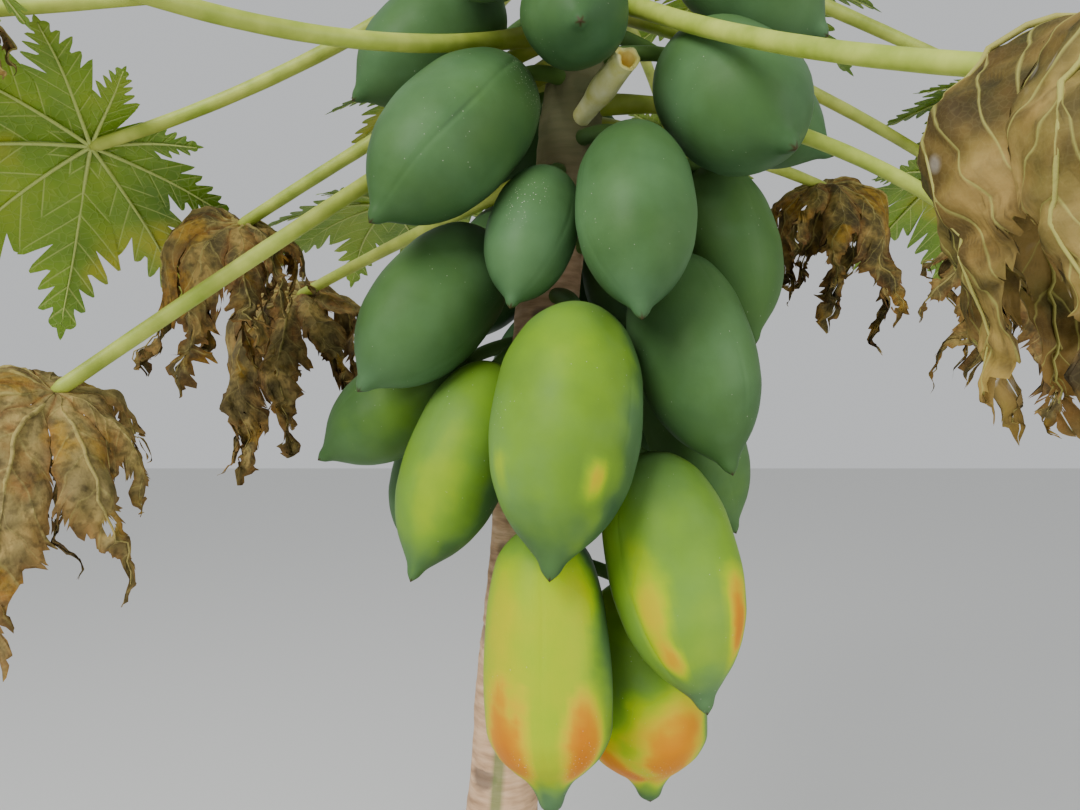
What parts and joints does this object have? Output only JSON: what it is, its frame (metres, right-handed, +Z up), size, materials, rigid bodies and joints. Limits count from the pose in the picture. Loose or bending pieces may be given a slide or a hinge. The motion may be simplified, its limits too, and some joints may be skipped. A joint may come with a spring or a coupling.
{
  "type": "papaya tree",
  "caption": "Fruiting papaya tree: a bare leaning trunk, a column of large fruit hung round it, and a crown of lobed leaves on long petioles, the oldest dried and hanging.",
  "frame": {"origin": "middle of the flat cut under the trunk, at ground level", "axes": "+Z up; the trunk leans towards +X; -Y is the side with the ripening fruit, which the picture shows"},
  "size_m": [1.6098, 1.7214, 2.4109],
  "materials": {
    "bark": "rough",
    "green_fruit": "waxy",
    "turning_fruit": "waxy",
    "green_leaf": "satin",
    "dried_leaf": "matt",
    "cut_petiole": "matt"
  },
  "bodies": {
    "root": {"cut_petiole": "cut_petiole", "fruit_back_right": "green_fruit", "fruit_bottom_front": "turning_fruit", "fruit_bottom_right": "turning_fruit", "fruit_far_1": "green_fruit", "fruit_far_10": "green_fruit", "fruit_far_2": "green_fruit", "fruit_far_3": "green_fruit", "fruit_far_4": "green_fruit", "fruit_far_5": "green_fruit", "fruit_far_6": "green_fruit", "fruit_far_7": "green_fruit", "fruit_far_8": "green_fruit", "fruit_far_9": "green_fruit", "fruit_far_left": "green_fruit", "fruit_high_left": "green_fruit", "fruit_high_right": "green_fruit", "fruit_low_left": "green_fruit", "fruit_low_right": "turning_fruit", "fruit_middle_front": "green_fruit", "fruit_middle_left": "green_fruit", "fruit_middle_right": "green_fruit", "fruit_right_behind": "green_fruit", "fruit_small_front": "green_fruit", "fruit_small_right": "green_fruit", "fruit_top_front": "green_fruit", "fruit_top_left": "green_fruit", "fruit_upper_front": "green_fruit", "fruit_upper_left": "green_fruit", "fruit_upper_right": "green_fruit", "fruit_young_1": "green_fruit", "fruit_young_2": "green_fruit", "fruit_young_3": "green_fruit", "leaf_far_1": "dried_leaf", "leaf_far_2": "green_leaf", "leaf_far_3": "green_leaf", "leaf_far_4": "green_leaf", "leaf_far_5": "green_leaf", "leaf_left_corner": "dried_leaf", "leaf_left_dried": "dried_leaf", "leaf_left_green": "green_leaf", "leaf_left_low": "dried_leaf", "leaf_left_near": "green_leaf", "leaf_left_small": "dried_leaf", "leaf_right_dried": "dried_leaf", "leaf_right_green": "green_leaf", "leaf_right_high": "green_leaf", "leaf_right_low": "dried_leaf", "leaf_right_near": "dried_leaf", "leaf_upper_1": "green_leaf", "leaf_upper_2": "green_leaf", "leaf_upper_3": "green_leaf", "leaf_upper_4": "green_leaf", "leaf_upper_5": "green_leaf", "leaf_upper_6": "green_leaf", "leaf_upper_7": "green_leaf", "leaf_upper_8": "green_leaf", "leaf_upper_9": "green_leaf", "trunk": "bark"}
  },
  "joints": []
}
